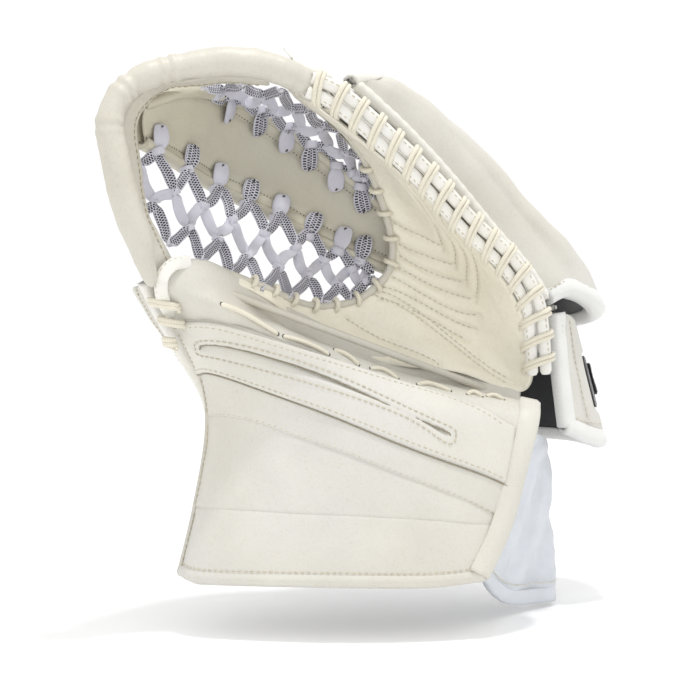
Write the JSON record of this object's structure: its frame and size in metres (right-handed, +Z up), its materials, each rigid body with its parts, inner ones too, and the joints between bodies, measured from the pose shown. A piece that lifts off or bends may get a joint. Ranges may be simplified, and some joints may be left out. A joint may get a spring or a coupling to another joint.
{
  "type": "ice hockey goalie catch glove",
  "caption": "White leather ice hockey goalie catch glove with a laced pocket, quilted palm, padded cuff, backhand pad, strapped wrist flap and hanging wrist lining.",
  "frame": {"origin": "middle of the bounding box at its lowest level, below the wrist opening", "axes": "+Z up, from the cuff to the fingertips; -Y out of the catching face, towards the player's shot; +X from the thumb side to the back of the hand"},
  "size_m": [0.3322, 0.2169, 0.3781],
  "materials": {
    "leather_white": "satin",
    "leather_palm": "matte",
    "binding_white": "satin",
    "cord_cream": "matte",
    "pocket_lace": "matte",
    "nylon_grey": "satin",
    "lining_black": "matte",
    "foam": "matte",
    "felt": "matte",
    "board_plastic": "matte",
    "hook_and_loop": "matte",
    "strap_black": "matte"
  },
  "bodies": {
    "cuff": {"cuff_bottom_panel": "leather_white", "cuff_middle_panel": "leather_white", "cuff_upper_panel": "leather_white", "cuff_raised_panel": "leather_white", "cuff_foam": "foam", "cuff_board": "board_plastic", "cuff_lining": "lining_black", "cuff_binding": "binding_white", "heel_face": "leather_white", "heel_foam": "foam", "break_piping": "binding_white", "heel_lacing": "cord_cream", "thumb_shell": "leather_white", "thumb_foam": "foam", "thumb_board": "board_plastic", "thumb_lining": "lining_black", "thumb_gusset": "leather_palm", "thumb_binding": "binding_white", "thumb_tip_roll": "leather_white", "thumb_lacing": "cord_cream", "skirt_piping": "nylon_grey"},
    "catch_side": {"palm_leather": "leather_palm", "palm_felt": "felt", "palm_lining": "lining_black", "pocket_edge_cord": "cord_cream", "stem_face": "leather_palm", "stem_core": "foam", "stem_back": "leather_palm", "rim_roll": "leather_white", "rim_band": "leather_white", "upper_pocket_lace": "pocket_lace", "lower_pocket_lace": "pocket_lace", "palm_edge_binding": "binding_white", "shell_edge_binding": "binding_white", "perimeter_lacing": "cord_cream", "finger_shell": "leather_white", "finger_foam": "foam", "finger_board": "board_plastic", "finger_lining": "lining_black", "finger_gusset": "leather_palm", "finger_dividers": "lining_black", "hand_strap": "strap_black", "fingertip_tab": "binding_white", "backhand_piping": "binding_white", "flap_piping": "binding_white"},
    "backhand_pad": {"backhand_cover": "leather_white", "backhand_foam": "foam", "backhand_lining": "lining_black", "backhand_binding": "binding_white"},
    "wrist_flap": {"flap_cover": "leather_white", "flap_foam": "foam", "flap_lining": "lining_black", "flap_binding": "binding_white", "loop_patch": "hook_and_loop", "strap_piping": "strap_black"},
    "wrist_strap": {"wrist_strap": "strap_black", "hook_patch": "hook_and_loop"},
    "skirt": {"skirt_panel": "nylon_grey", "skirt_binding": "binding_white"}
  },
  "joints": [
    {"name": "break_close", "type": "hinge", "parent": "cuff", "child": "catch_side", "pos_m": [-0.123, -0.071, 0.235], "axis": [0.8727, 0.3415, -0.3491], "range_deg": [0, 40]},
    {"name": "pad_lift", "type": "hinge", "parent": "catch_side", "child": "backhand_pad", "pos_m": [-0.004, -0.038, 0.351], "axis": [0.4121, -0.8875, 0.206], "range_deg": [0, 12]},
    {"name": "flap_out", "type": "hinge", "parent": "catch_side", "child": "wrist_flap", "pos_m": [0.132, 0.028, 0.208], "axis": [0.8244, -0.5565, 0.1031], "range_deg": [0, 12]},
    {"name": "strap_peel", "type": "hinge", "parent": "wrist_flap", "child": "wrist_strap", "pos_m": [0.053, 0.099, 0.131], "axis": [0, -0.1168, 0.9932], "range_deg": [0, 90]},
    {"name": "skirt_swing", "type": "hinge", "parent": "cuff", "child": "skirt", "pos_m": [0.074, -0.043, 0.03], "axis": [-0.3241, -0.2347, -0.9164], "range_deg": [0, 10]}
  ]
}
